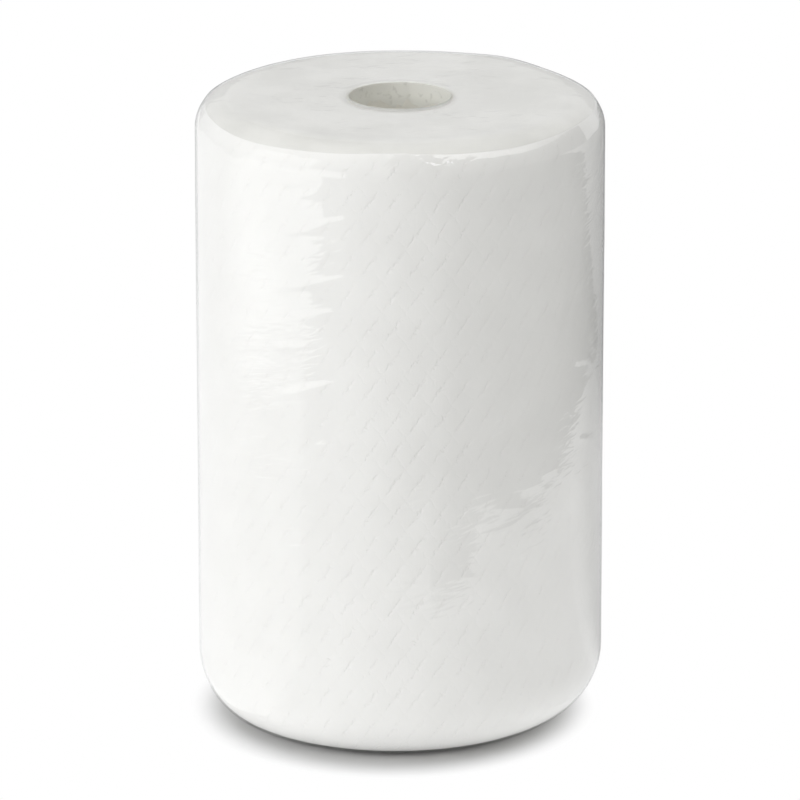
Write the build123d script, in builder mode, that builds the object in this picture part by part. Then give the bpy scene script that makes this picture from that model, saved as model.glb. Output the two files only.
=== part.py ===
from build123d import *
from math import cos, radians, sin
import os

# Paper towel roll, new, in clear shrink film.
# Millimetres, +Z up, standing on z = 0 with the core's axis on Z.
# +Y is the back, where the last sheet of paper ends.

# The roll over its film
roll_diameter = 160.0
roll_height = 248.0
top_shoulder = 11.7        # radius that the film pulls the upper edge to
bottom_shoulder = 23.5     # the edge it stands on is pressed rounder
top_shoulder_bands = 3     # cones that the shoulder is drawn as
bottom_shoulder_bands = 4

# The card core
core_bore_diameter = 40.0
core_wall = 1.0
core_recess = 0.8          # how far its ends lie inside the ends of the paper

# The paper
sheet_thickness = 0.4      # two plies, the step where the last turn ends
turn_line_pitch = 9.0      # one line stands for 35 or so real turns
turn_line_depth = 0.4

# The film
film_thickness = 0.3       # stands for real film of about 0.03
mouth_margin = 0.5         # from the core's outside to the edge of the film

# Clearances
core_clearance = 0.1       # core to first turn
film_clearance = 0.15      # film to the last turn and to the top of the paper

core_outer_radius = core_bore_diameter / 2 + core_wall
film_mouth_radius = core_outer_radius + mouth_margin
film_inner_radius = roll_diameter / 2 - film_thickness
film_inner_top = roll_height - film_thickness

paper_bore_radius = core_outer_radius + core_clearance
paper_bottom = film_thickness
paper_top = film_inner_top - film_clearance
paper_bottom_round = bottom_shoulder - film_thickness
paper_top_round = top_shoulder - film_thickness
first_wound_radius = film_inner_radius - film_clearance - sheet_thickness
first_line_radius = paper_bore_radius + turn_line_pitch / 2


def quarter_turn(bands):
    """Angles from 0 to 90 degrees that cut a quarter circle into this many bands."""
    return [radians(90 * band / bands) for band in range(bands + 1)]


def roll_half_section(radius, bottom, top, bottom_round, top_round):
    """Half section of a round-shouldered roll, from its axis at x = 0 out to its wall."""
    lower_shoulder = [
        (radius - bottom_round * (1 - sin(a)), bottom + bottom_round * (1 - cos(a)))
        for a in quarter_turn(bottom_shoulder_bands)
    ]
    upper_shoulder = [
        (radius - top_round * (1 - cos(a)), top - top_round * (1 - sin(a)))
        for a in quarter_turn(top_shoulder_bands)
    ]
    with BuildSketch() as half:
        with BuildLine():
            Polyline((0, bottom), *lower_shoulder, *upper_shoulder, (0, top), close=True)
        make_face()
    return half.sketch


def half_turns(pitch):
    """The sketch plane and axis of each half turn of a spiral that gains one pitch a turn.

    Both halves start at +Y. The first goes round by -X and the second by +X, about a centre half a
    pitch further back, with radii half a pitch larger. They meet smoothly at -Y, and at +Y the second
    half ends one pitch outside the start of the first.
    """
    for centre, turning in ((0, 1), (pitch / 2, -1)):
        start = Plane((0, centre, 0), x_dir=(0, 1, 0), z_dir=(1, 0, 0))
        yield start, Axis((0, centre, 0), (0, 0, turning))


def turn_line_spots(half):
    """Where the turn lines start this half turn, on the flat of each end: radius and height."""
    spots = []
    for z, rounding in ((paper_bottom, paper_bottom_round), (paper_top, paper_top_round)):
        flat_radius = first_wound_radius - rounding - turn_line_depth
        turns = int((flat_radius - first_line_radius) / turn_line_pitch)
        spots += [(first_line_radius + (turn + half / 2) * turn_line_pitch, z) for turn in range(turns)]
    return spots


# Paper: wound outwards by one sheet in the last turn, which ends in a step at the back
with BuildPart() as paper_roll:
    for half, (start, axis) in enumerate(half_turns(sheet_thickness)):
        with BuildSketch(start):
            wound_radius = first_wound_radius + half * sheet_thickness / 2
            add(roll_half_section(wound_radius, paper_bottom, paper_top, paper_bottom_round, paper_top_round))
        revolve(axis=axis, revolution_arc=180)
    # The edges of the turns show on both ends as a V groove that winds outwards from the core
    for half, (start, axis) in enumerate(half_turns(turn_line_pitch)):
        with BuildSketch(start):
            with Locations(*turn_line_spots(half)):
                RegularPolygon(radius=turn_line_depth, side_count=4)
        revolve(axis=axis, revolution_arc=180, mode=Mode.SUBTRACT)
    Hole(paper_bore_radius)
paper_roll.part.label = "paper_roll"

# Core: a plain card tube
with BuildPart() as core:
    with BuildSketch(Plane.XY.offset(paper_bottom + core_recess)):
        Circle(core_outer_radius)
        Circle(core_bore_diameter / 2, mode=Mode.SUBTRACT)
    extrude(amount=paper_top - paper_bottom - 2 * core_recess)
core.part.label = "core"

# Film: one skin over the wall, the shoulders and both ends, open round the core
with BuildPart() as film_wrap:
    with BuildSketch(Plane.XZ):
        add(roll_half_section(roll_diameter / 2, 0, roll_height, bottom_shoulder, top_shoulder))
        inside = roll_half_section(
            film_inner_radius, film_thickness, film_inner_top, paper_bottom_round, paper_top_round
        )
        add(inside, mode=Mode.SUBTRACT)
        Rectangle(film_mouth_radius, roll_height, align=(Align.MIN, Align.MIN), mode=Mode.SUBTRACT)
    revolve(axis=Axis.Z)
film_wrap.part.label = "film_wrap"

os.makedirs("parts", exist_ok=True)
for piece in (paper_roll, core, film_wrap):
    export_step(piece.part, f"parts/{piece.part.label}.step")
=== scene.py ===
import bmesh
import bpy
from collections import namedtuple
from math import atan2, ceil, cos, degrees, exp, hypot, pi, radians, sin, tan, tau
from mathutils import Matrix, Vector, noise


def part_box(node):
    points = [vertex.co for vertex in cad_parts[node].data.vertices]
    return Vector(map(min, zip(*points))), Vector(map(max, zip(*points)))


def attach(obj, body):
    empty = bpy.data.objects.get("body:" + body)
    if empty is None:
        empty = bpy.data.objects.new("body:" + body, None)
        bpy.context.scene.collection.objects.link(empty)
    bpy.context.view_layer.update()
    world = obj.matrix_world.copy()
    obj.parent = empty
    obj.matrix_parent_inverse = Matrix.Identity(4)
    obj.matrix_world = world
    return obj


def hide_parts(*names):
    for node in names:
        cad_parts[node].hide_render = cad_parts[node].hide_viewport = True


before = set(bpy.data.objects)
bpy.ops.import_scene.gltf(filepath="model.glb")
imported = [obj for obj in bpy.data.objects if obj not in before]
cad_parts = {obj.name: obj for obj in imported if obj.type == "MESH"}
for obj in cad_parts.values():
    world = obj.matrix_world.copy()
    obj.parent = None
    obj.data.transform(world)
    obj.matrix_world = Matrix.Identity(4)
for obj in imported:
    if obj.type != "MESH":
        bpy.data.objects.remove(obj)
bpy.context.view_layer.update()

# A paper towel roll in clear shrink film, standing on a pale floor.
# Metres, +Z up. The camera looks along +Y, and the last sheet of paper ends at +Y.

MM = 0.001
ROLL_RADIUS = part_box("film_wrap")[1].x
ROLL_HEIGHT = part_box("film_wrap")[1].z
CORE_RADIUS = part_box("core")[1].x
PAPER_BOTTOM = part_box("paper_roll")[0].z
PAPER_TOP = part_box("paper_roll")[1].z
ROOM_FOR_LUMPS = 0.2 * MM          # that the embossed paper lies below the plain one
PAPER_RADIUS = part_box("paper_roll")[1].x - ROOM_FOR_LUMPS

# Side view of the roll over its film
FOOT_WIDTH, FOOT_HEIGHT = 20.0 * MM, 24.3 * MM     # the rounding that it stands on
FOOT_UNEVEN = 5.0 * MM             # how much wider or narrower that is in places
WIDEST_FOOT = 145                  # degrees right of the camera's side, where it is widest
BEND_HEIGHT = 236.0 * MM           # where the wall starts to lean in
RIM_RADIUS, RIM_HEIGHT = 76.6 * MM, 244.8 * MM     # the edge where the side meets the end
DOME_RADIUS = 66.5 * MM            # where the end starts to fall towards the edge

# Dents of the soft edge: angle right of the camera's side, half width in degrees, millimetres of lift
RIM_DENTS = (
    (-52, 20, -1.2),
    (-2, 13, 1.2),
    (34, 9, -0.3),
    (68, 18, 1.0),
    (148, 15, 1.8),
    (180, 22, 0.6),
    (-150, 18, 0.7),
)

# Embossing of the paper
EMBOSS_CELLS = 55                  # diamonds in one turn
EMBOSS_HEIGHT = 12.5 * MM          # of one diamond
EMBOSS_DEPTH = 0.10 * MM           # of a rising dash below the paper beside it
FALLING_SHARE = 0.10               # depth of a falling dash beside a rising one
BROKEN_DASH_DEPTH = 0.12 * MM      # of the fine bits that dashes break up into
BROKEN_FALLING_SHARE = 0.30        # the same for the bits of a falling dash, beside a rising one
CREPE_DEPTH = 0.12 * MM
PILLOW_HEIGHT = 0.03 * MM          # that a diamond swells between its lines

# The film inside the core, and the turn that it makes into it
LIP_RADIUS = 0.3 * MM
LINING_RADIUS = 19.9 * MM
FLAT_FROM = 21.4 * MM              # radius from which the end is smooth enough to have its full gloss
LIP_GLOSS = 0.2                    # share of its gloss that the crumpled turn keeps
MILKY_SHARE = 0.95                 # how much the crumpled lining hides
LEAST_MILKY_SHARE = 0.85           # the same at its end, where it lies flatter
MILKY_DEPTH, LEAST_MILKY_DEPTH = 4.5 * MM, 8.5 * MM    # how far down the core each of them holds

# Colours, from the darkest to the lightest where there are two
PAPER_COLOURS = (0.86, 0.86, 0.84, 1), (0.93, 0.93, 0.91, 1)
CUT_EDGE_COLOURS = (0.68, 0.68, 0.65, 1), (0.77, 0.77, 0.74, 1)
CARD_COLOURS = (0.83, 0.82, 0.76, 1), (0.91, 0.90, 0.84, 1)
CARD_END_COLOUR = (0.56, 0.55, 0.51, 1)
LINING_COLOUR = (0.98, 0.98, 0.93, 1)
# painted shade in the lining's crumpled folds
LINING_FOLD_SHADE_COLOUR = (0.87, 0.87, 0.82, 1)
# painted shade on the lining's back, where it shows round the hole
LINING_BACK_SHADE_COLOUR = (0.68, 0.68, 0.65, 1)
# painted shadow: the floor's darker grey near the roll
FLOOR_SHADOW_COLOUR = (0.55, 0.55, 0.55, 1)
WHITE = (1, 1, 1, 1)


def smooth(edge, far, value):
    """0 at edge, 1 at far, with a soft start and end."""
    t = min(1.0, max(0.0, (value - edge) / (far - edge)))
    return t * t * (3 - 2 * t)


# Shader helpers

def new_material(name):
    """An empty material, its nodes, and a function that links two sockets."""
    material = bpy.data.materials.new(name)
    material.use_nodes = True
    nodes = material.node_tree.nodes
    nodes.clear()
    return material, nodes, material.node_tree.links.new


def add_node(nodes, kind, **inputs):
    """A shader node with the given inputs set. Spaces in a socket's name are written as underscores."""
    node = nodes.new(kind)
    for name, value in inputs.items():
        node.inputs[name.replace("_", " ")].default_value = value
    return node


def maths(nodes, link, operation, *values):
    """A Math node of its values, where each may be a socket or a number."""
    node = nodes.new("ShaderNodeMath")
    node.operation = operation
    for socket, value in zip(node.inputs, values):
        if isinstance(value, (int, float)):
            socket.default_value = value
        else:
            link(value, socket)
    return node.outputs[0]


def vector_value(nodes, link, operation, *vectors):
    """The number that a Vector Math node makes of its vectors, where each may be a socket or a tuple."""
    node = nodes.new("ShaderNodeVectorMath")
    node.operation = operation
    for socket, vector in zip(node.inputs, vectors):
        if isinstance(vector, tuple):
            socket.default_value = vector
        else:
            link(vector, socket)
    return node.outputs["Value"]


def split(nodes, link, vector):
    """The X, Y and Z of a vector."""
    parts = nodes.new("ShaderNodeSeparateXYZ")
    link(vector, parts.inputs[0])
    return parts.outputs["X"], parts.outputs["Y"], parts.outputs["Z"]


def joined(nodes, link, *values):
    """A vector of three sockets."""
    parts = nodes.new("ShaderNodeCombineXYZ")
    for value, socket in zip(values, parts.inputs):
        link(value, socket)
    return parts.outputs[0]


def scaled(nodes, link, vector, scale):
    """A vector with each axis scaled by itself."""
    mapping = add_node(nodes, "ShaderNodeMapping", Scale=scale)
    link(vector, mapping.inputs["Vector"])
    return mapping.outputs["Vector"]


def object_place(nodes):
    """The place on the object that is shaded."""
    return nodes.new("ShaderNodeTexCoord").outputs["Object"]


def from_axis(nodes, link):
    """The way from the roll's axis to the place that is shaded."""
    return scaled(nodes, link, object_place(nodes), (1, 1, 0))


def mixed_colour(nodes, link, factor, colour, other):
    """A colour that goes from one to the other with the factor. The first may be a socket."""
    node = nodes.new("ShaderNodeMix")
    node.data_type = "RGBA"
    link(factor, node.inputs["Factor"])
    if isinstance(colour, tuple):
        node.inputs["A"].default_value = colour
    else:
        link(colour, node.inputs["A"])
    node.inputs["B"].default_value = other
    return node.outputs["Result"]


def mixed_shader(nodes, link, share, shader, other):
    """A shader that goes from one to the other with the share."""
    mix = nodes.new("ShaderNodeMixShader")
    link(share, mix.inputs[0])
    link(shader.outputs[0], mix.inputs[1])
    link(other.outputs[0], mix.inputs[2])
    return mix


def matte_shader(nodes, link, colour, normal, roughness, specular):
    """A matte surface with a colour and a bump."""
    shader = add_node(nodes, "ShaderNodeBsdfPrincipled", Roughness=roughness, Specular_IOR_Level=specular)
    link(colour, shader.inputs["Base Color"])
    link(normal, shader.inputs["Normal"])
    return shader


def finish_material(nodes, link, shader):
    """Makes a shader the material's surface."""
    output = nodes.new("ShaderNodeOutputMaterial")
    link(shader.outputs[0], output.inputs["Surface"])


def ramp(nodes, link, value, edge, far, low=0.0, high=1.0):
    """A value that goes softly from low at the edge to high at the far side."""
    node = nodes.new("ShaderNodeMapRange")
    node.interpolation_type = "SMOOTHSTEP"
    link(value, node.inputs["Value"])
    for name, limit in (("From Min", edge), ("From Max", far), ("To Min", low), ("To Max", high)):
        node.inputs[name].default_value = limit
    return node.outputs[0]


def placed_noise(nodes, link, scale, stretch=(1, 1, 1), detail=2.0, roughness=0.5, climb=0.0):
    """Noise in object space, finer along an axis where stretch is larger. It can climb towards +X."""
    place = object_place(nodes)
    if climb:
        x, y, z = split(nodes, link, place)
        place = joined(nodes, link, x, y, maths(nodes, link, "MULTIPLY_ADD", x, -climb, z))
    texture = add_node(nodes, "ShaderNodeTexNoise", Scale=scale, Detail=detail, Roughness=roughness)
    link(scaled(nodes, link, place, stretch), texture.inputs["Vector"])
    return texture.outputs["Fac"]


def bump(nodes, link, height, strength, distance, under=None):
    """A bump from a height socket, on top of another bump where one is given."""
    node = add_node(nodes, "ShaderNodeBump", Strength=strength, Distance=distance)
    link(height, node.inputs["Height"])
    if under:
        link(under, node.inputs["Normal"])
    return node.outputs["Normal"]


# Materials

def broken_dashes(nodes, link):
    """Depth from 0 to 1 of the fine part of the embossing, which breaks its dashes up into bits.

    It lies on the lines that the paper's mesh is cut along, and wanders off them a little.
    """
    x, y, z = split(nodes, link, object_place(nodes))
    cells = maths(nodes, link, "MULTIPLY", maths(nodes, link, "ARCTAN2", y, x), EMBOSS_CELLS / tau)
    along = maths(nodes, link, "ADD", z, FOOT_LENGTH - FOOT_HEIGHT)
    climb = maths(nodes, link, "MULTIPLY", along, 1 / EMBOSS_HEIGHT)
    wander = maths(nodes, link, "MULTIPLY_ADD", placed_noise(nodes, link, scale=330.0), 0.5, -0.25)
    a = maths(nodes, link, "ADD", cells, climb)
    b = maths(nodes, link, "SUBTRACT", cells, climb)
    rising = (b, a, 0, 1.0, 700.0)
    falling = (a, b, 1, BROKEN_FALLING_SHARE, 810.0)
    depths = []
    for across, length, parity, share, scale in (rising, falling):
        line = maths(nodes, link, "ROUND", across)
        off_line = maths(nodes, link, "ADD", maths(nodes, link, "SUBTRACT", across, line), wander)
        off_middle = maths(nodes, link, "SUBTRACT", maths(nodes, link, "SUBTRACT", length, line), parity)
        off_middle = maths(nodes, link, "WRAP", off_middle, 1.0, -1.0)
        width = ramp(nodes, link, maths(nodes, link, "ABSOLUTE", off_line), 0.02, 0.11, 1, 0)
        reach = ramp(nodes, link, maths(nodes, link, "ABSOLUTE", off_middle), 0.35, 0.95, 1, 0)
        bits = ramp(nodes, link, placed_noise(nodes, link, scale, detail=1.0), 0.40, 0.56, 0, share)
        depths.append(maths(nodes, link, "MULTIPLY", maths(nodes, link, "MULTIPLY", width, reach), bits))
    return maths(nodes, link, "MAXIMUM", *depths)


def paper_material():
    """White two-ply towel: matte, softly mottled, with broken dashes and fine crepe lines along the roll."""
    material, nodes, link = new_material("paper_towel")
    cloudy = placed_noise(nodes, link, scale=60.0, detail=3.0)
    crepe = placed_noise(nodes, link, scale=900.0, stretch=(1, 1, 0.12))
    dashes = broken_dashes(nodes, link)
    colour = mixed_colour(nodes, link, cloudy, *PAPER_COLOURS)
    normal = bump(nodes, link, crepe, strength=0.35, distance=CREPE_DEPTH)
    normal = bump(nodes, link, dashes, strength=1.0, distance=-BROKEN_DASH_DEPTH, under=normal)
    finish_material(nodes, link, matte_shader(nodes, link, colour, normal, roughness=0.95, specular=0.15))
    return material


def end_material():
    """The ends of the wound paper: cut edges of the turns, which are greyer and run in rings."""
    material, nodes, link = new_material("paper_cut_edges")
    x, y, _ = split(nodes, link, object_place(nodes))
    radius = vector_value(nodes, link, "LENGTH", from_axis(nodes, link))
    # Rings are noise that changes fast with the radius and slowly round the roll
    ring_place = joined(nodes, link, maths(nodes, link, "MULTIPLY", radius, 14.0), x, y)
    rings = add_node(nodes, "ShaderNodeTexNoise", Scale=45.0, Detail=4.0, Roughness=0.7)
    link(ring_place, rings.inputs["Vector"])
    cloudy = ramp(nodes, link, placed_noise(nodes, link, scale=38.0, detail=4.0, roughness=0.6), 0.32, 0.68)
    tone = maths(nodes, link, "MULTIPLY_ADD", rings.outputs["Fac"], 0.6, cloudy)
    # Painted highlight: it is lighter towards the edge, standing for the sheen on the film's rounding there
    tone = maths(nodes, link, "ADD", tone, ramp(nodes, link, radius, 58 * MM, 74 * MM, -0.3, 0.1))
    colour = mixed_colour(nodes, link, tone, *CUT_EDGE_COLOURS)
    normal = bump(nodes, link, rings.outputs["Fac"], strength=0.4, distance=0.3 * MM)
    finish_material(nodes, link, matte_shader(nodes, link, colour, normal, roughness=0.95, specular=0.1))
    return material


def card_material():
    """Grey-beige recycled card, with the spiral seam that such a tube is wound with."""
    seam_pitch = 70 * MM
    seam_width = 0.012             # in turns
    material, nodes, link = new_material("core_card")
    fibre = placed_noise(nodes, link, scale=500.0, stretch=(1, 1, 0.5), detail=3.0, roughness=0.65)
    cloudy = placed_noise(nodes, link, scale=90.0)
    # The seam is a narrow line where height and angle round the tube add up to a whole turn
    x, y, z = split(nodes, link, object_place(nodes))
    turns = maths(nodes, link, "MULTIPLY", maths(nodes, link, "ARCTAN2", y, x), 1 / tau)
    climb = maths(nodes, link, "MULTIPLY", z, 1 / seam_pitch)
    phase = maths(nodes, link, "FRACT", maths(nodes, link, "ADD", turns, climb))
    seam = maths(nodes, link, "LESS_THAN", phase, seam_width)
    mottled = maths(nodes, link, "ADD", maths(nodes, link, "MULTIPLY", fibre, 0.6), cloudy)
    mottled = maths(nodes, link, "SUBTRACT", mottled, 0.3)
    mottled = maths(nodes, link, "SUBTRACT", mottled, maths(nodes, link, "MULTIPLY", seam, 0.5))
    colour = mixed_colour(nodes, link, mottled, *CARD_COLOURS)
    # The cut ends are darker than the tube's surface
    _, _, up = split(nodes, link, nodes.new("ShaderNodeNewGeometry").outputs["True Normal"])
    colour = mixed_colour(nodes, link, maths(nodes, link, "GREATER_THAN", up, 0.5), colour, CARD_END_COLOUR)
    normal = bump(nodes, link, fibre, strength=0.4, distance=0.15 * MM)
    normal = bump(nodes, link, seam, strength=0.6, distance=-0.2 * MM, under=normal)
    finish_material(nodes, link, matte_shader(nodes, link, colour, normal, roughness=0.85, specular=0.25))
    return material


def film_normal(nodes, link):
    """Fine ripples all over the film, and patches of sharp little ridges that climb to one side."""
    ripples = placed_noise(nodes, link, scale=110.0, stretch=(1, 1, 2.2))
    crumples = placed_noise(nodes, link, scale=150.0, stretch=(0.6, 0.6, 1.9), climb=0.3)
    ridges = maths(nodes, link, "ABSOLUTE", maths(nodes, link, "SUBTRACT", crumples, 0.5))
    ridges = ramp(nodes, link, ridges, 0.0, 0.15, 1, 0)
    patches = ramp(nodes, link, placed_noise(nodes, link, scale=48.0, detail=1.0), 0.42, 0.62, 0.15, 1)
    ridges = maths(nodes, link, "MULTIPLY", ridges, patches)
    normal = bump(nodes, link, ripples, strength=0.3, distance=0.2 * MM)
    return bump(nodes, link, ridges, strength=1.0, distance=0.045 * MM, under=normal)


def film_gloss(nodes, link, normal, radius):
    """Share of the light that the two faces of the film throw back together."""
    fresnel = add_node(nodes, "ShaderNodeFresnel", IOR=1.5)
    link(normal, fresnel.inputs["Normal"])
    one_face = fresnel.outputs[0]
    doubled = maths(nodes, link, "MULTIPLY", one_face, 2.0)
    two_faces = maths(nodes, link, "DIVIDE", doubled, maths(nodes, link, "ADD", one_face, 1.0))
    smoothness = ramp(nodes, link, radius, LINING_RADIUS + LIP_RADIUS, FLAT_FROM, LIP_GLOSS, 1)
    return maths(nodes, link, "MULTIPLY", two_faces, smoothness)


def lining_shader(nodes, link, radius):
    """The film inside the core, which is crumpled and so milky: its shader, and how much it hides."""
    inside = ramp(nodes, link, radius, LINING_RADIUS + 0.1 * MM, LINING_RADIUS + 0.02 * MM)
    _, _, height = split(nodes, link, object_place(nodes))
    depth = maths(nodes, link, "SUBTRACT", ROLL_HEIGHT, height)
    share = ramp(nodes, link, depth, MILKY_DEPTH, LEAST_MILKY_DEPTH, MILKY_SHARE, LEAST_MILKY_SHARE)
    # Painted shade: noise darkens specks of the lining where its folds would hold shadow
    fold_shade = ramp(nodes, link, placed_noise(nodes, link, scale=480.0, detail=1.0), 0.58, 0.74)
    colour = mixed_colour(nodes, link, fold_shade, LINING_COLOUR, LINING_FOLD_SHADE_COLOUR)
    # Painted shade: its back, seen through the flat film round the hole, is greyer, so that the lit ring
    # there is no lighter than the paper's end beside it
    normal = nodes.new("ShaderNodeNewGeometry").outputs["Normal"]
    outward = vector_value(nodes, link, "DOT_PRODUCT", from_axis(nodes, link), normal)
    back = maths(nodes, link, "GREATER_THAN", outward, 0.0)
    milky = nodes.new("ShaderNodeBsdfDiffuse")
    link(mixed_colour(nodes, link, back, colour, LINING_BACK_SHADE_COLOUR), milky.inputs["Color"])
    return milky, maths(nodes, link, "MULTIPLY", inside, share)


def film_material():
    """Clear shrink film: all that shows is its gloss, which grows towards a grazing view.

    The side that a ray meets from outside the film's thickness carries the gloss of both its faces, and
    the side that it leaves by carries none.
    """
    material, nodes, link = new_material("shrink_film")
    radius = vector_value(nodes, link, "LENGTH", from_axis(nodes, link))
    normal = film_normal(nodes, link)
    backfacing = nodes.new("ShaderNodeNewGeometry").outputs["Backfacing"]
    entering = maths(nodes, link, "SUBTRACT", 1.0, backfacing)
    gloss = maths(nodes, link, "MULTIPLY", film_gloss(nodes, link, normal, radius), entering)
    milky, hidden = lining_shader(nodes, link, radius)
    hidden = maths(nodes, link, "MULTIPLY", hidden, entering)
    clear = nodes.new("ShaderNodeBsdfTransparent")
    shiny = add_node(nodes, "ShaderNodeBsdfGlossy", Roughness=0.05)
    link(normal, shiny.inputs["Normal"])
    body = mixed_shader(nodes, link, hidden, clear, milky)
    finish_material(nodes, link, mixed_shader(nodes, link, gloss, body, shiny))
    return material


# Shape of the roll

# Each function whose name ends in point gives the radius and height of a place, and the direction out
# there. Its share goes from 0 to 1 along its part of the outline, and its inset lies below the film.

def turned(angle):
    """Degrees right of the camera's side, from -180 to 180, of an angle counted from +X."""
    return (degrees(angle) + 270) % 360 - 180


def rim_lift(angle):
    """How far the dents lift the edge at an angle."""
    lift = 0.0
    for middle, half_width, amount in RIM_DENTS:
        away = (turned(angle) - middle + 180) % 360 - 180
        lift += amount * MM * exp(-((away / half_width) ** 2))
    return lift


def foot_point(share, angle, inset=0.0):
    """The rounded foot, from the floor at share 0 to the wall at 1: radius, height, direction out."""
    turn = share * pi / 2
    width = FOOT_WIDTH + FOOT_UNEVEN * cos(radians(turned(angle) - WIDEST_FOOT))
    out, up = sin(turn) * FOOT_HEIGHT, -cos(turn) * width
    size = hypot(out, up)
    out, up = out / size, up / size
    radius = ROLL_RADIUS - width * (1 - sin(turn))
    return radius - out * inset, FOOT_HEIGHT * (1 - cos(turn)) - up * inset, out, up


def wall_point(share, angle, inset=0.0):
    """The straight wall, from the foot at share 0 to where it leans in at 1."""
    return ROLL_RADIUS - inset, FOOT_HEIGHT + (BEND_HEIGHT - FOOT_HEIGHT) * share, 1.0, 0.0


def shoulder_point(share, angle, inset=0.0):
    """The part of the side that leans in, from the wall at share 0 to the edge at 1."""
    lean = ROLL_RADIUS - RIM_RADIUS
    rise = RIM_HEIGHT - BEND_HEIGHT
    size = hypot(rise, 2 * lean * share)
    out, up = rise / size, 2 * lean * share / size
    height = BEND_HEIGHT + rise * share + rim_lift(angle) * share ** 2
    return ROLL_RADIUS - lean * share ** 2 - out * inset, height - up * inset, out, up


def dome_point(share, angle, inset=0.0):
    """The outer part of the upper end, from the edge at share 0 to the flat at 1."""
    width = RIM_RADIUS - DOME_RADIUS
    drop = ROLL_HEIGHT - RIM_HEIGHT
    left = 1 - share
    size = hypot(width, 2 * drop * left)
    out, up = 2 * drop * left / size, width / size
    height = ROLL_HEIGHT - (drop - rim_lift(angle)) * left ** 2
    return DOME_RADIUS + width * left - out * inset, height - up * inset, out, up


# Paper

LINE_STEPS = (0, 0.045, 0.10, 0.5, 0.90, 0.955)   # where the mesh is cut between two lines
DASH_HALF_WIDTH = 0.10
DASH_FULL, DASH_END = 0.15, 0.75   # from its middle, in the same share of a line's spacing
LEAST_PRESSED, PRESSED, UNEVENLY = 0.1, 0.8, 1.1      # how strong the embossing is from place to place
LUMP_HEIGHT = 0.07 * MM
FOOT_FADE, RIM_FADE = 10 * MM, 2 * MM     # over which the embossing starts at the foot and ends at the edge
PAPER_INSET = ROLL_RADIUS - PAPER_RADIUS
TAIL_STEP = 0.4 * MM               # two plies of paper
TAIL_WIDTH = 0.006                 # of the slope that the step is drawn as, in radii
PAPER_BORE = CORE_RADIUS + 0.1 * MM
BORE_ROUND = 1.5 * MM              # depth of the soft edge round the core
END_UNEVEN = 0.25 * MM             # how far the wound edges dip, on average
BORE_DIP = 0.45 * MM               # how much further they dip round the core
BASE_MARGIN = 1.0 * MM             # from where the foot starts to rise in to the flat of the lower end
MERGE_DISTANCE = 0.002 * MM        # between corners that become one

FOOT_LENGTH = pi / 2 * hypot(FOOT_WIDTH, FOOT_HEIGHT) / 2 ** 0.5
WALL_LENGTH = BEND_HEIGHT - FOOT_HEIGHT
BENT_LONGER = 1.03                 # length of the bent shoulder for that of a straight one
SHOULDER_LENGTH = BENT_LONGER * hypot(ROLL_RADIUS - RIM_RADIUS, RIM_HEIGHT - BEND_HEIGHT)
SKIN_LENGTH = FOOT_LENGTH + WALL_LENGTH + SHOULDER_LENGTH


def tail_inset(angle):
    """How far the paper lies below its full radius. It gains one sheet in a turn from +Y by -X."""
    just_past = 1e-4               # so that corners at +Y itself count as the last of the turn
    wound = (angle - pi / 2 - just_past) % tau
    return TAIL_STEP * (1 - wound / tau)


def dash(along, across):
    """Depth of one embossed dash, from 0 to 1, at a place along and across its line."""
    width = 1 - smooth(0.02, DASH_HALF_WIDTH, abs(across))
    return width * (1 - smooth(DASH_FULL, DASH_END, abs(along)))


def wrapped(value, period):
    """The value moved by whole periods to lie about zero."""
    return value - period * round(value / period)


def emboss(a, b):
    """Height of the embossed paper. a and b are whole numbers along the falling and the rising lines.

    Where lines cross, the rising dash passes if the numbers are both even or both odd, and the falling
    dash passes if not, as in a weave.
    """
    rising = dash(wrapped(a - round(b), 2), b - round(b))
    falling = dash(wrapped(b - round(a) - 1, 2), a - round(a)) * FALLING_SHARE
    pillow = abs(sin(pi * a) * sin(pi * b)) ** 0.7
    return PILLOW_HEIGHT * pillow - EMBOSS_DEPTH * max(rising, falling)


def skin_point(along, angle, inset):
    """The paper's side, a length along it from the floor."""
    if along < FOOT_LENGTH:
        return foot_point(along / FOOT_LENGTH, angle, inset)
    if along < FOOT_LENGTH + WALL_LENGTH:
        return wall_point((along - FOOT_LENGTH) / WALL_LENGTH, angle, inset)
    return shoulder_point(min(1.0, (along - FOOT_LENGTH - WALL_LENGTH) / SHOULDER_LENGTH), angle, inset)


def flat_point(share, angle, inset):
    """The flat of the upper end, from the dome at share 0 to the core at 1. The wound edges lie unevenly."""
    radius = DOME_RADIUS + (PAPER_BORE - DOME_RADIUS) * share
    dip = END_UNEVEN * (1 + noise.noise(Vector((cos(angle), sin(angle), radius * 60)) * 1.7))
    dip *= smooth(0, 0.2, share)
    dip += BORE_DIP * smooth(0.93, 1.0, share)
    return radius, PAPER_TOP - dip, 0.0, 1.0


def bore_point(share, angle, inset):
    """The paper's side against the core, from the top at share 0 to the bottom at 1."""
    top = PAPER_TOP - BORE_ROUND
    return PAPER_BORE, top + (PAPER_BOTTOM - top) * share, -1.0, 0.0


def base_point(share, angle, inset):
    """The lower end, from the foot at share 0 to the core at 1."""
    outer = foot_point(0, angle)[0] - BASE_MARGIN
    return outer + (PAPER_BORE - outer) * share, PAPER_BOTTOM, 0.0, -1.0


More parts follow.
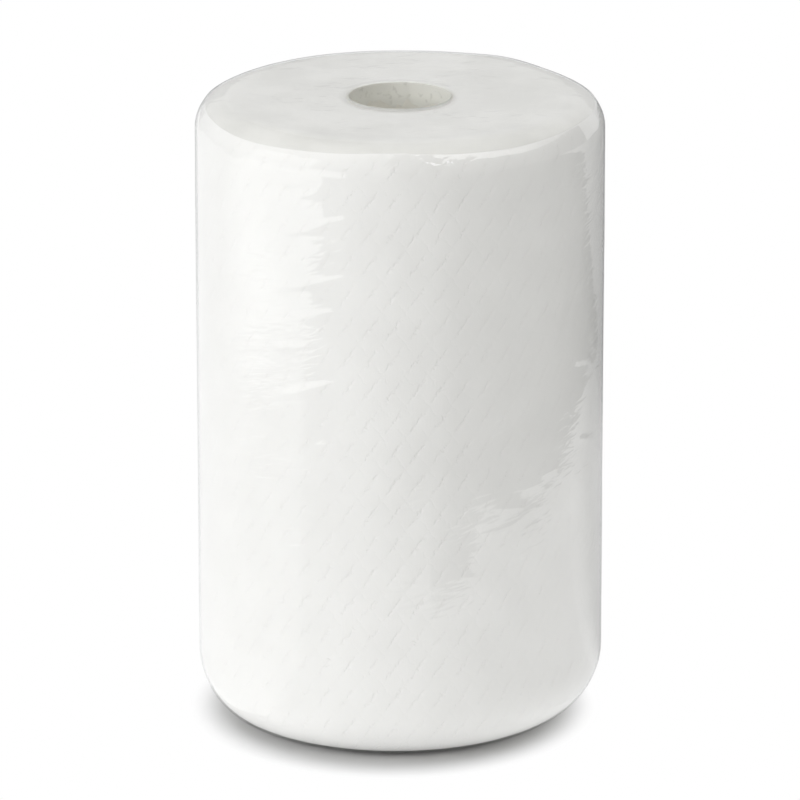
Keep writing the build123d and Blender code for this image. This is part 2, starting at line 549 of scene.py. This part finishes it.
def diamond_grid():
    """A cylinder of radius 1, as high as the paper's side is long, cut along the lines of the embossing."""
    steps = len(LINE_STEPS)
    round_steps = EMBOSS_CELLS * steps
    mesh = bmesh.new()
    corners = {}

    def line_number(index):
        return index // steps + LINE_STEPS[index % steps]

    def corner(i, j):
        turn = i // round_steps
        key = (i - turn * round_steps, j - turn * round_steps)
        if key not in corners:
            a, b = line_number(key[0]), line_number(key[1])
            angle = tau * (a + b) / 2 / EMBOSS_CELLS
            corners[key] = mesh.verts.new((cos(angle), sin(angle), EMBOSS_HEIGHT * (a - b) / 2))
        return corners[key]

    rows = ceil(2 * SKIN_LENGTH / EMBOSS_HEIGHT + 1) * steps
    for i in range(round_steps):
        for j in range(i - rows, i + steps):
            mesh.faces.new((corner(i, j), corner(i, j + 1), corner(i + 1, j + 1), corner(i + 1, j)))
    return mesh


def cut(mesh, point, normal, keep_all=True, near_tail=False):
    """Cuts the mesh along a plane, and drops what is on the normal's side unless all is kept."""
    faces = [f for f in mesh.faces if not near_tail or f.calc_center_median().y > 0.9]
    edges = {e for f in faces for e in f.edges}
    verts = {v for f in faces for v in f.verts}
    bmesh.ops.bisect_plane(
        mesh, geom=list(verts) + list(edges) + faces, dist=1e-7,
        plane_co=point, plane_no=normal, clear_outer=not keep_all,
    )


def open_edges(mesh, height):
    """The mesh's open edges at a height."""
    return [e for e in mesh.edges if e.is_boundary and abs(e.verts[0].co.z - height) < 1e-6]


def put(v, angle, radius, height):
    """Moves a corner to a radius and height at an angle."""
    v.co = (radius * cos(angle), radius * sin(angle), height)


def shape_skin(mesh):
    """Bends the cut cylinder to the roll's side, and presses the embossing into it."""
    for v in mesh.verts:
        angle = atan2(v.co.y, v.co.x)
        along = v.co.z
        radius, height, out, up = skin_point(along, angle, PAPER_INSET + tail_inset(angle))
        cells = angle / tau * EMBOSS_CELLS
        a = cells + along / EMBOSS_HEIGHT
        b = cells - along / EMBOSS_HEIGHT
        spot = Vector((radius * cos(angle), radius * sin(angle), height))
        pressed = max(LEAST_PRESSED, PRESSED + UNEVENLY * noise.noise(spot * 120 + Vector((7, 3, 1))))
        lumps = noise.noise(Vector((spot.x, spot.y, 0.6 * spot.z)) * 55)
        lift = emboss(a, b) * pressed - PILLOW_HEIGHT * 0.6 + LUMP_HEIGHT * lumps
        lift *= smooth(0, FOOT_FADE, along) * smooth(SKIN_LENGTH, SKIN_LENGTH - RIM_FADE, along)
        put(v, angle, radius + out * lift, height + up * lift)
    for face in mesh.faces:
        face.smooth = True


def extend(mesh, edges, rings):
    """Carries open edges on through rings of (function of a place, share along it). Gives the last edges."""
    for point, share in rings:
        made = bmesh.ops.extrude_edge_only(mesh, edges=edges)["geom"]
        edges = [g for g in made if isinstance(g, bmesh.types.BMEdge) and g.is_boundary]
        faces = [g for g in made if isinstance(g, bmesh.types.BMFace)]
        for v in {v for e in edges for v in e.verts}:
            angle = atan2(v.co.y, v.co.x)
            radius, height, _, _ = point(share, angle, PAPER_INSET)
            put(v, angle, radius, height)
        for face in faces:
            face.material_index = 1
            face.smooth = True
    return edges


def make_paper():
    """The wound paper: an embossed skin whose last edge is a step at the back, and two plain ends."""
    mesh = diamond_grid()
    cut(mesh, (0, 0, 0), (0, 0, -1), keep_all=False)
    cut(mesh, (0, 0, SKIN_LENGTH), (0, 0, 1), keep_all=False)
    cut(mesh, (0, 0, 0), (1, 0, 0), near_tail=True)
    cut(mesh, (TAIL_WIDTH, 0, 0), (1, 0, 0), near_tail=True)
    foot_edges = open_edges(mesh, 0.0)
    rim_edges = open_edges(mesh, SKIN_LENGTH)
    shape_skin(mesh)

    # The upper end goes in from the edge over the dome and the flat to the core
    flat_rings = 14
    upper_rings = [(dome_point, share) for share in (0.08, 0.2, 0.35, 0.5, 0.65, 0.8, 0.9)]
    upper_rings += [(flat_point, share / flat_rings) for share in range(flat_rings + 1)]
    upper_rings += [(bore_point, 0.0), (bore_point, 0.4)]
    lower_rings = [(base_point, 0.2), (base_point, 1.0), (bore_point, 1.0), (bore_point, 0.6)]
    upper = extend(mesh, rim_edges, upper_rings)
    lower = extend(mesh, foot_edges, lower_rings)
    bmesh.ops.bridge_loops(mesh, edges=upper + lower)
    bmesh.ops.remove_doubles(mesh, verts=list(mesh.verts), dist=MERGE_DISTANCE)
    bmesh.ops.recalc_face_normals(mesh, faces=list(mesh.faces))

    data = bpy.data.meshes.new("paper_roll_embossed")
    mesh.to_mesh(data)
    mesh.free()
    data.materials.append(paper_material())
    data.materials.append(end_material())
    return bpy.data.objects.new("paper_roll_embossed", data)


# Film

FILM_ROUND = 256                   # mesh steps in a turn
WALL_ROWS = 205                    # mesh steps up the wall, finer because most creases run round the roll
INNER_WALL_STEP = 14               # how many of those one step of the smooth inner side takes
FILM_SLACK = 0.34 * MM             # the most that a swell or crease moves the film
FILM_MEAN, SWELLS, RIPPLES, RIDGES = 0.30, 0.34, 0.17, 0.07    # how that slack is shared out
FILM_DEEP = 0.38 * MM              # depth of its inner side
TUCK_LENGTH = 6.5 * MM             # how far it reaches down the core, on average
TUCK_LONGER = 2.0 * MM             # how much further at the back
GATHERS = 17                       # folds of the tucked film in a turn
GATHER_DEPTH = 0.12 * MM

# Creases in the film: angle right of the camera's side, height, length, rise over the length, lift, width
CREASES = (
    (-24.5, 151, 25, 8.5, 0.34, 1.3),
    (-13.5, 114.5, 14, 6.5, 0.34, 1.3),
    (-24, 215.5, 24, 8.0, 0.32, 1.3),
    (-24.5, 193, 24, 6.0, 0.32, 1.3),
    (-30, 232, 12, 2.5, 0.28, 1.3),
    (62, 152, 14, -3.0, 0.30, 1.3),
    (66, 118, 12, -4.0, 0.30, 1.3),
    (71, 158, 9, 2.0, 0.18, 1.5),
    (1, 236, 1, 12, 0.25, 1.56),
    (43, 236, 1, 9, 0.15, 1.5),
    (46, 234, 1, 10, 0.12, 1.5),
    (74, 237, 14, 9, 0.14, 2.08),
    (80, 231, 12, 10, 0.14, 1.82),
    (-78, 238, 10, -6, 0.28, 1.82),
    (-62, 226, 3, 16, 0.18, 1.56),
    (28, 205, 3, 18, 0.12, 1.82),
    (52, 180, 4, 22, 0.15, 1.95),
    (36, 96, 16, 8, 0.15, 1.69),
    (22, 74, 14, -6, 0.12, 1.56),
    (110, 190, 22, 9, 0.22, 1.56),
    (128, 90, 18, -7, 0.22, 1.56),
    (165, 150, 3, 30, 0.2, 1.82),
    (-160, 60, 20, 8, 0.22, 1.56),
    (-130, 170, 18, -8, 0.22, 1.56),
    (-100, 110, 20, 8, 0.22, 1.56),
    (-110, 215, 4, 24, 0.2, 1.69),
    (12, 241, 9, 1.0, 0.14, 1.5),
    (15, 236, 10, 1.5, 0.14, 1.5),
    (-26, 228, 8, 1.0, 0.30, 1.2),
    (-22, 181, 12, 4.5, 0.30, 1.2),
    (-33, 166, 9, 2.0, 0.26, 1.2),
    (-21, 129, 10, 3.5, 0.26, 1.3),
    (-28, 86, 12, 3.5, 0.2, 1.5),
    (40, 108, 8, 1.0, 0.2, 1.5),
    (33, 101, 9, -1.5, 0.2, 1.5),
    (46, 112, 8, 1.5, 0.2, 1.5),
)


def crease_lift(arc, height):
    """Millimetres that the creases raise the film, at a place along the wall in millimetres."""
    lift = 0.0
    for angle, middle, length, rise, strength, width in CREASES:
        across_length = hypot(length, rise)
        dx = arc - radians(angle) * ROLL_RADIUS / MM
        dz = height - middle
        along = (dx * length + dz * rise) / across_length
        across = (dz * length - dx * rise) / across_length
        if abs(along) < across_length and abs(across) < 4 * width:
            ends = exp(-((2.0 * along / across_length) ** 4))
            lift += strength * ends * exp(-((across / width) ** 2))
    return lift


def film_sag(spot, angle):
    """How far the film lies below its full size. It hangs between slow swells, ripples and creases."""
    swell = noise.noise(Vector((spot.x, spot.y, 0.5 * spot.z)) * 26)
    ripple = noise.noise(Vector((spot.x, spot.y, 0.8 * spot.z)) * 75 + Vector((3, 1, 8)))
    ridge = 1 - 2 * abs(noise.noise(Vector((spot.x, spot.y, 1.3 * spot.z)) * 120 + Vector((5, 9, 2))))
    raised = FILM_MEAN + SWELLS * swell + RIPPLES * ripple + RIDGES * ridge
    arc = radians(turned(angle)) * ROLL_RADIUS / MM
    raised += crease_lift(arc, spot.z / MM) * MM / FILM_SLACK
    return FILM_SLACK * (1 - min(1.0, max(0.0, raised)))


def end_flat_point(share, angle, inset=0.0):
    """The film over the flat of the upper end, from the dome at share 0 to the lip at 1."""
    inner = LINING_RADIUS + LIP_RADIUS
    return DOME_RADIUS + (inner - DOME_RADIUS) * share, ROLL_HEIGHT - inset, 0.0, 1.0


def base_flat_point(share, angle, inset=0.0):
    """The film under the lower end, from the lip at share 0 to the foot at 1."""
    inner = LINING_RADIUS + LIP_RADIUS
    return inner + (foot_point(0, angle)[0] - inner) * share, inset, 0.0, -1.0


def lip_point(share, angle, inset=0.0):
    """The film's turn into the core, from the flat at share 0 to straight down at 1."""
    turn = share * pi / 2
    radius = LINING_RADIUS + LIP_RADIUS * (1 - sin(turn))
    height = ROLL_HEIGHT - LIP_RADIUS * (1 - cos(turn))
    return radius + sin(turn) * inset, height - cos(turn) * inset, -sin(turn), cos(turn)


def tuck_point(share, angle, inset=0.0):
    """The film inside the core, which hangs in gathers and ends raggedly."""
    ragged = noise.noise(Vector((cos(angle), sin(angle), 0.3)) * 4)
    ragged += 0.5 * noise.noise(Vector((cos(angle), sin(angle), 5.0)) * 11)
    length = TUCK_LENGTH * (1 + 0.5 * ragged) + TUCK_LONGER * sin(angle)
    depth = LIP_RADIUS + length * share
    gather = sin(GATHERS * angle + 3 * noise.noise(Vector((cos(angle), sin(angle), 2.0)) * 3))
    radius = LINING_RADIUS - GATHER_DEPTH * (0.5 + 0.5 * gather) * share
    return radius + inset, ROLL_HEIGHT - depth, -1.0, 0.0


def lower(point):
    """The same form at the lower end."""
    def mirrored(share, angle, inset=0.0):
        radius, height, out, up = point(share, angle, inset)
        return radius, ROLL_HEIGHT - height, out, -up
    return mirrored


def film_rows():
    """Rows of the film from the lower tuck to the upper: function of a place, share, slack and depth."""
    lining = 0.1                   # share of the slack and depth that is left inside the core
    rows = [(lower(tuck_point), 1 - k / 5, lining, lining) for k in range(5)]
    rows += [(lower(lip_point), 1 - k / 4, 0.1, lining) for k in range(4)]
    rows += [(base_flat_point, k / 8, 0.1, 1) for k in range(8)]
    rows += [(foot_point, k / 14, smooth(0, 6, k), 1) for k in range(14)]
    rows += [(wall_point, k / WALL_ROWS, 1, 1) for k in range(WALL_ROWS)]
    rows += [(shoulder_point, share, 1, 1) for share in (0, 0.14, 0.28, 0.42, 0.55, 0.68, 0.8, 0.9, 0.96)]
    rows += [(dome_point, share, 1, 1) for share in (0, 0.04, 0.1, 0.2, 0.32, 0.45, 0.58, 0.72, 0.86)]
    rows += [(end_flat_point, k / 18, 1, 1) for k in range(18)]
    rows += [(lip_point, k / 6, lining, lining) for k in range(6)]
    rows += [(tuck_point, share, lining, lining) for share in (0, 0.15, 0.3, 0.45, 0.6, 0.75, 0.9, 0.98, 1)]
    return rows


def make_film():
    """The film as a thin closed shell, with creases on its outer side and the paper's form inside."""
    angles = [tau * k / FILM_ROUND for k in range(FILM_ROUND)]
    points = []
    rows = film_rows()
    for point, share, slack, _ in rows:
        for angle in angles:
            radius, height, out, up = point(share, angle)
            sag = slack * film_sag(Vector((radius * cos(angle), radius * sin(angle), height)), angle)
            radius, height = radius - out * sag, height - up * sag
            points.append((radius * cos(angle), radius * sin(angle), height))
    inner = [row for k, row in enumerate(rows) if row[0] is not wall_point or k % INNER_WALL_STEP == 0]
    for point, share, _, depth in reversed(inner):
        for angle in angles:
            radius, height, _, _ = point(share, angle, FILM_DEEP * depth)
            points.append((radius * cos(angle), radius * sin(angle), height))
    total_rows = len(rows) + len(inner)
    faces = []
    for row in range(total_rows):
        below = row * FILM_ROUND
        above = (row + 1) % total_rows * FILM_ROUND
        for k in range(FILM_ROUND):
            n = (k + 1) % FILM_ROUND
            faces.append((below + k, below + n, above + n, above + k))
    data = bpy.data.meshes.new("film_wrinkled")
    data.from_pydata(points, [], faces)
    data.shade_smooth()
    data.materials.append(film_material())
    film = bpy.data.objects.new("film_wrinkled", data)
    film.visible_shadow = False    # clear film lets the light through
    return film


# Floor, lights and camera

# Light levels, where 1 is the white of the background
ROOM_LIGHT = 0.02
NEAR_FLOOR, FAR_FLOOR = 1.21, 0.96      # glow of the floor on the roll, beside it and far off
NEAR_DISTANCE, FAR_DISTANCE = 0.12, 0.60
FLOOR_SIZE = 12.0                       # half of its side
SHADOW_FROM, SHADOW_TO = 0.068, 0.088   # distance from its middle over which the floor's shadow ends
SHADOW_MIDDLE = (-0.003, -0.007, 0)
SHADOW_SQUEEZE = (1.09, 1, 1)           # how much narrower it is from side to side
LIT_FROM, LIT_TO = 0.056, 0.084         # where the floor starts to throw light on the roll
LAMP_DISTANCE = 2.5
LAMP_TARGET = 0.6 * ROLL_HEIGHT         # height that the lamps face
SCREEN_DISTANCE = 3.5

# The camera, fitted to the outline of the roll in the photograph
CAMERA_DISTANCE = 36.1 * ROLL_RADIUS
CAMERA_HEIGHT = 12.8 * ROLL_RADIUS
CAMERA_TILT = 17.31                     # degrees down
FOCAL_PIXELS = 7695
PICTURE_PIXELS = 800

# A change of level between two azimuths, in degrees right of the camera, to the level that stays beyond
Fade = namedtuple("Fade", "start end level")
# Light that is added past two azimuths, growing between two distances
Beam = namedtuple("Beam", "start end near far added")


def show(obj):
    """Puts an object in the scene."""
    bpy.context.scene.collection.objects.link(obj)
    return obj


def plane(name, outline, height):
    """A flat sheet with the given corners."""
    data = bpy.data.meshes.new(name)
    data.from_pydata([(x, y, height) for x, y in outline], [], [range(len(outline))])
    return show(bpy.data.objects.new(name, data))


def make_floor():
    """A pale floor, lit evenly from the room. To the camera it is white, with the roll's shadow, partly cast
    and partly painted as a darker grey near the roll that fades to white with the distance.
    """
    size = FLOOR_SIZE
    floor_plane = plane("floor", [(-size, -size), (size, -size), (size, size), (-size, size)], 0.0)
    material, nodes, link = new_material("pale_floor")
    # Painted shadow: the floor near the roll is a darker grey, which deepens its cast shadow
    pale = add_node(nodes, "ShaderNodeBsdfDiffuse", Color=FLOOR_SHADOW_COLOUR)
    # Past the foot of the roll the floor is as bright as the room, so the shadow ends there
    squeezed = scaled(nodes, link, nodes.new("ShaderNodeNewGeometry").outputs["Position"], SHADOW_SQUEEZE)
    distance = vector_value(nodes, link, "DISTANCE", squeezed, SHADOW_MIDDLE)
    away = ramp(nodes, link, distance, SHADOW_FROM, SHADOW_TO)
    path = nodes.new("ShaderNodeLightPath")
    shown = maths(nodes, link, "MAXIMUM", path.outputs["Is Camera Ray"], path.outputs["Is Glossy Ray"])
    lit = ramp(nodes, link, distance, LIT_FROM, LIT_TO)
    lit = maths(nodes, link, "MULTIPLY", lit, maths(nodes, link, "SUBTRACT", 1.0, shown))
    away = maths(nodes, link, "MAXIMUM", away, lit)
    # It is exactly white where it is shown, and gives its own light to the roll
    own_light = ramp(nodes, link, distance, NEAR_DISTANCE, FAR_DISTANCE, NEAR_FLOOR, FAR_FLOOR)
    less = maths(nodes, link, "SUBTRACT", 1.0, own_light)
    level = maths(nodes, link, "MULTIPLY_ADD", shown, less, own_light)
    glow = add_node(nodes, "ShaderNodeEmission", Color=WHITE)
    link(level, glow.inputs["Strength"])
    finish_material(nodes, link, mixed_shader(nodes, link, away, pale, glow))
    floor_plane.data.materials.append(material)


def gloss_only(obj, level, fade=None, beam=None):
    """Makes a sheet glow, seen only in the film's gloss. Its level may fade, and a beam may be added."""
    material, nodes, link = new_material(obj.name)
    glow = add_node(nodes, "ShaderNodeEmission", Color=WHITE, Strength=level)
    if fade or beam:
        position = nodes.new("ShaderNodeNewGeometry").outputs["Position"]
        x, y, _ = split(nodes, link, position)
        azimuth = maths(nodes, link, "ARCTAN2", x, maths(nodes, link, "MULTIPLY", y, -1.0))
        fade = fade or Fade(start=0, end=1, level=level)
        strength = ramp(nodes, link, azimuth, radians(fade.start), radians(fade.end), level, fade.level)
        if beam:
            distance = vector_value(nodes, link, "LENGTH", position)
            inside = ramp(nodes, link, azimuth, radians(beam.start), radians(beam.end))
            beyond = ramp(nodes, link, distance, beam.near, beam.far, 0, beam.added)
            strength = maths(nodes, link, "MULTIPLY_ADD", inside, beyond, strength)
        link(strength, glow.inputs["Strength"])
    finish_material(nodes, link, glow)
    obj.data.materials.append(material)
    obj.visible_camera = False
    obj.visible_diffuse = False
    obj.visible_transmission = False
    obj.visible_shadow = False


def make_card(name, outline, level, fade=None, beam=None, height=0.5 * MM):
    """A studio card that lies on the floor."""
    gloss_only(plane(name, outline, height), level, fade, beam)


def floor_ring(azimuths, near, far):
    """Corners of a part of a ring on the floor, between two azimuths and two distances."""
    steps = 12
    turns = [radians(azimuths[0] + (azimuths[1] - azimuths[0]) * k / steps) for k in range(steps + 1)]
    outer = [(far * sin(a), -far * cos(a)) for a in turns]
    return outer + [(near * sin(a), -near * cos(a)) for a in reversed(turns)]


def make_screen(name, azimuths, bottoms, tops, level, fade=None):
    """A curved studio screen round the roll. Azimuths and elevations are those of its start and its end."""
    steps = 24
    points, faces = [], []
    for k in range(steps + 1):
        azimuth, bottom, top = (radians(a + (b - a) * k / steps) for a, b in (azimuths, bottoms, tops))
        x, y = SCREEN_DISTANCE * sin(azimuth), -SCREEN_DISTANCE * cos(azimuth)
        points += [(x, y, SCREEN_DISTANCE * tan(bottom)), (x, y, SCREEN_DISTANCE * tan(top))]
    for k in range(steps):
        faces.append((2 * k, 2 * k + 2, 2 * k + 3, 2 * k + 1))
    data = bpy.data.meshes.new(name)
    data.from_pydata(points, [], faces)
    gloss_only(show(bpy.data.objects.new(name, data)), level, fade)


def make_world():
    """White to the camera and in the gloss, and a weak even light on everything."""
    world = bpy.data.worlds.new("studio")
    world.use_nodes = True
    bpy.context.scene.world = world
    nodes, link = world.node_tree.nodes, world.node_tree.links.new
    nodes.clear()
    path = nodes.new("ShaderNodeLightPath")
    seen = maths(nodes, link, "MAXIMUM", path.outputs["Is Camera Ray"], path.outputs["Is Glossy Ray"])
    seen = maths(nodes, link, "MAXIMUM", seen, path.outputs["Is Transmission Ray"])
    strength = maths(nodes, link, "ADD", maths(nodes, link, "MULTIPLY", seen, 1 - ROOM_LIGHT), ROOM_LIGHT)
    background = add_node(nodes, "ShaderNodeBackground", Color=WHITE)
    link(strength, background.inputs["Strength"])
    output = nodes.new("ShaderNodeOutputWorld")
    link(background.outputs[0], output.inputs["Surface"])


def make_lamp(name, azimuth, elevation, width, height, level, colour=(1, 1, 1), shows_in_gloss=False):
    """A soft lamp that faces the roll. Its azimuth is right of the camera, and all angles are in degrees.

    Width and height are the angles that it fills seen from the roll, and level is its brightness, where
    1 is the white of the background.
    """
    away = Vector((
        sin(radians(azimuth)) * cos(radians(elevation)),
        -cos(radians(azimuth)) * cos(radians(elevation)),
        sin(radians(elevation)),
    ))
    light = bpy.data.lights.new(name, "AREA")
    light.shape = "RECTANGLE"
    light.size = 2 * LAMP_DISTANCE * tan(radians(width / 2))
    light.size_y = 2 * LAMP_DISTANCE * tan(radians(height / 2))
    light.energy = pi * light.size * light.size_y * level
    light.color = colour
    lamp = show(bpy.data.objects.new(name, light))
    lamp.location = Vector((0, 0, LAMP_TARGET)) + away * LAMP_DISTANCE
    lamp.rotation_euler = (-away).to_track_quat("-Z", "Y").to_euler()
    lamp.visible_camera = False
    lamp.visible_glossy = shows_in_gloss


def make_camera():
    """The photograph's view: from far off and 17 degrees above, nearly without perspective."""
    camera = bpy.data.cameras.new("camera")
    camera.sensor_width = 36
    camera.lens = camera.sensor_width * FOCAL_PIXELS / PICTURE_PIXELS
    camera.clip_end = 100
    eye = show(bpy.data.objects.new("camera", camera))
    eye.location = (0, -CAMERA_DISTANCE, CAMERA_HEIGHT)
    eye.rotation_euler = (radians(90 - CAMERA_TILT), 0, 0)
    bpy.context.scene.camera = eye


# Edges of the studio cards on the floor, which the film shows as jagged lines down its wall
LEFT_EDGE = [
    (-0.065, -0.056), (-0.146, -0.136), (-0.193, -0.171), (-0.426, -0.321),
    (-0.512, -0.477), (-0.539, -0.599), (-0.649, -0.721),
]
RIGHT_FRONT_EDGE = [(0.065, -0.245), (0.11, -0.25), (0.25, -0.28), (0.35, -0.17), (0.40, 0.03)]
RIGHT_BACK_EDGE = [(0.43, 0.15), (0.40, 0.31), (0.29, 0.44)]


def make_lamps():
    """The lamps that light the paper. The last shows in the gloss too, as sparks along the roll's edge."""
    make_lamp("key", azimuth=-79, elevation=20, width=30, height=34, level=1.5)
    make_lamp("left", azimuth=-60, elevation=12, width=24, height=44, level=2.6)
    make_lamp("front_left", azimuth=-35, elevation=25, width=24, height=30, level=1.3)
    make_lamp("fill", azimuth=42, elevation=42, width=28, height=16, level=2.95, colour=(1, 0.975, 0.93))
    make_lamp("ceiling", azimuth=0, elevation=89, width=70, height=70, level=1.75)
    make_lamp("spark", azimuth=26, elevation=37, width=16, height=3, level=4.0, shows_in_gloss=True)


def make_cards():
    """The floor's surroundings as the gloss shows them: bright on the left, darker on the right."""
    make_card(
        "left_card",
        [*LEFT_EDGE, (-2.0, -2.2), (-3.0, 0.0), (-3.0, 3.0), (-0.02, 3.0), (-0.02, 0.085), (-0.085, 0.0)],
        level=1.21, fade=Fade(-156, -178, 0.42), beam=Beam(-118, -78, near=0.42, far=0.75, added=0.8),
    )
    make_card(
        "left_far_card", floor_ring((-112, -30), near=1.15, far=3.4),
        level=1.15, fade=Fade(-104, -84, 2.1), height=1.0 * MM,
    )
    make_card(
        "middle_card", floor_ring((-34, 14.8), near=0.12, far=3.4),
        level=1.05, beam=Beam(-34, 12, near=0.2, far=0.5, added=-0.65),
    )
    make_card(
        "right_card", [*RIGHT_FRONT_EDGE, *RIGHT_BACK_EDGE, (3.4, 0.6), (3.4, -3.4), (0.91, -3.4)],
        level=0.4, fade=Fade(15, 30, 0.08),
    )
    make_card(
        "right_back_card",
        [(0.085, 0.02), (0.3, 0.05), *RIGHT_BACK_EDGE, (3.4, 0.6), (3.4, 3.4), (0.02, 3.4), (0.02, 0.085)],
        level=1.10, fade=Fade(100, 134, 0.42), beam=Beam(116, 136, near=0.50, far=0.34, added=0.30),
    )


def make_screens():
    """The walls of the studio as the gloss shows them: dark on the right, with a bright strip above."""
    make_screen("right_screen", azimuths=(-6, 125), bottoms=(0, 0), tops=(56, 22), level=0.30)
    make_screen(
        "rim_strip", azimuths=(-6, 125), bottoms=(56, 22), tops=(70, 34),
        level=2.4, fade=Fade(60, 110, 0.9),
    )
    make_screen(
        "left_low_screen", azimuths=(-115, -30), bottoms=(0, 0), tops=(9, 9),
        level=1.1, fade=Fade(-104, -84, 1.85),
    )
    make_screen(
        "left_screen", azimuths=(-115, -50), bottoms=(9, 9), tops=(38, 38),
        level=1.1, fade=Fade(-104, -84, 1.6),
    )
    make_screen("back_screen", azimuths=(150, 210), bottoms=(0, 0), tops=(17, 17), level=0.82)


# The scene

bpy.context.scene.view_settings.view_transform = "Standard"
make_camera()
make_floor()
make_world()
make_lamps()
make_cards()
make_screens()

paper = show(make_paper())
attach(paper, "root")
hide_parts("paper_roll")

film = show(make_film())
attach(film, "root")
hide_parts("film_wrap")

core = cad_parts["core"]
core.data.materials.clear()
core.data.materials.append(card_material())
